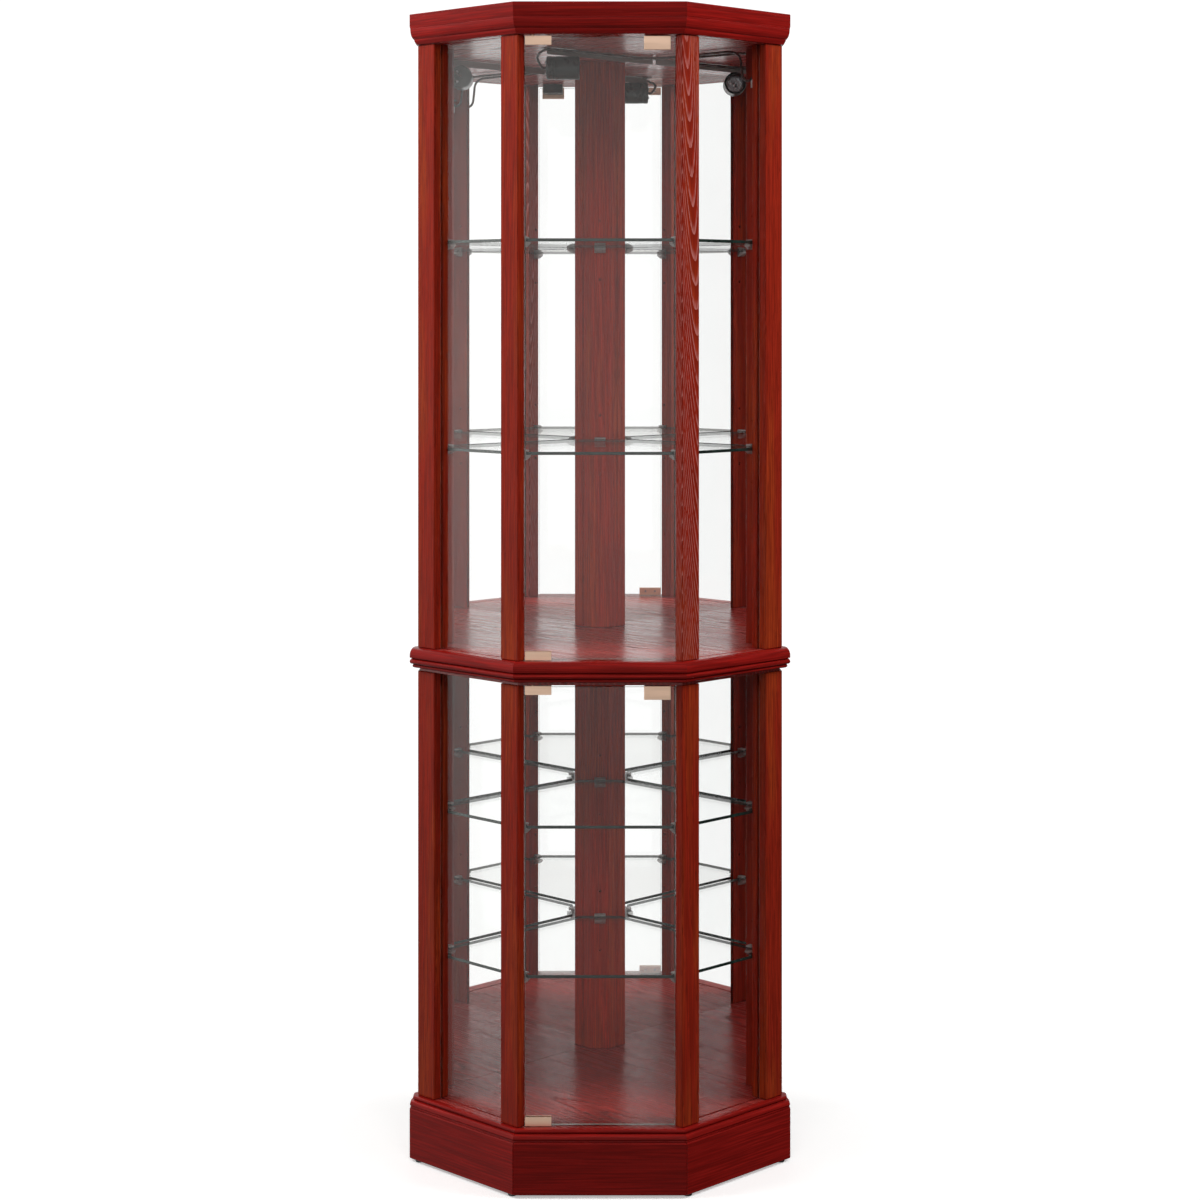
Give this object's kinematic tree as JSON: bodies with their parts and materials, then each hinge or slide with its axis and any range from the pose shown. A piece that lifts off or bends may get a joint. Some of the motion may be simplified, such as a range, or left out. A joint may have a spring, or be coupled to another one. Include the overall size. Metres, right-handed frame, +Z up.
{
  "type": "corner curio cabinet",
  "caption": "Tall corner display cabinet with a glass door to each compartment, glass sides, mirrored backs and glass shelves.",
  "frame": {"origin": "on the floor under the middle of the cabinet's bounding box", "axes": "+Z up, -Y out of the door front, +Y towards the corner of the room, +X to the right seen from the front"},
  "size_m": [0.608, 0.487, 1.83],
  "materials": {
    "post_wood": "red cherry stain under clear gloss lacquer, grain upright",
    "plinth_wood": "red cherry stain under clear gloss lacquer, grain level",
    "moulding_wood": "red cherry stain under clear gloss lacquer",
    "board_wood": "open-grained stained veneer, satin lacquer",
    "clear_glass": "clear float glass, ground edges",
    "shelf_glass": "clear float glass, polished green edges",
    "mirror": "silvered glass on a thin backing sheet",
    "brass": "satin",
    "latch_plastic": "fine matt",
    "plunger_steel": "satin",
    "glide": "matt",
    "bracket_steel": "dark, satin",
    "holder_phenolic": "moulded phenolic, dark green-black",
    "lead_sheath": "soft clear-brown sheath"
  },
  "bodies": {
    "cabinet": {"glide_front_left": "glide", "glide_front_right": "glide", "glide_outer_left": "glide", "glide_outer_right": "glide", "glide_rear": "glide", "plinth_front": "plinth_wood", "plinth_left": "plinth_wood", "plinth_right": "plinth_wood", "plinth_back_left": "plinth_wood", "plinth_back_right": "plinth_wood", "base_moulding_front": "moulding_wood", "base_moulding_left": "moulding_wood", "base_moulding_right": "moulding_wood", "waist_moulding_front": "moulding_wood", "waist_moulding_left": "moulding_wood", "waist_moulding_right": "moulding_wood", "crown_moulding_front": "moulding_wood", "crown_moulding_left": "moulding_wood", "crown_moulding_right": "moulding_wood", "lower_floor_board": "board_wood", "mid_board": "board_wood", "ceiling_board": "board_wood", "top_board": "board_wood", "lower_front_post_left": "post_wood", "lower_front_post_right": "post_wood", "lower_corner_post_left": "post_wood", "lower_corner_post_right": "post_wood", "lower_centre_post": "post_wood", "upper_front_post_left": "post_wood", "upper_front_post_right": "post_wood", "upper_corner_post_left": "post_wood", "upper_corner_post_right": "post_wood", "upper_centre_post": "post_wood", "lower_side_glass_left": "clear_glass", "lower_side_glass_right": "clear_glass", "upper_side_glass_left": "clear_glass", "upper_side_glass_right": "clear_glass", "lower_mirror_left": "mirror", "lower_mirror_right": "mirror", "upper_mirror_left": "mirror", "upper_mirror_right": "mirror", "lower_shelf_1": "shelf_glass", "lower_shelf_2": "shelf_glass", "upper_shelf_1": "shelf_glass", "upper_shelf_2": "shelf_glass", "lower_latch_housing": "latch_plastic", "upper_latch_housing": "latch_plastic", "lamp_bracket": "bracket_steel", "lamp_holder": "holder_phenolic", "lamp_lead": "lead_sheath"},
    "lower_door": {"lower_door_glass": "clear_glass", "lower_door_hinge_bottom": "brass", "lower_door_hinge_top": "brass", "lower_door_strike": "brass"},
    "upper_door": {"upper_door_glass": "clear_glass", "upper_door_hinge_bottom": "brass", "upper_door_hinge_top": "brass", "upper_door_strike": "brass"},
    "lower_plunger": {"lower_latch_plunger": "plunger_steel"},
    "upper_plunger": {"upper_latch_plunger": "plunger_steel"}
  },
  "joints": [
    {"name": "lower_door_hinge", "type": "hinge", "parent": "cabinet", "child": "lower_door", "pos_m": [-0.10373, -0.2183, 0.1052], "axis": [0, 0, -1], "range_deg": [0, 110]},
    {"name": "upper_door_hinge", "type": "hinge", "parent": "cabinet", "child": "upper_door", "pos_m": [-0.10373, -0.2183, 0.8209], "axis": [0, 0, -1], "range_deg": [0, 110]},
    {"name": "lower_latch_push", "type": "slide", "parent": "cabinet", "child": "lower_plunger", "axis": [0, 1, 0], "range_m": [0, 0.003], "stiffness_N_per_m": 400},
    {"name": "upper_latch_push", "type": "slide", "parent": "cabinet", "child": "upper_plunger", "axis": [0, 1, 0], "range_m": [0, 0.003], "stiffness_N_per_m": 400}
  ]
}
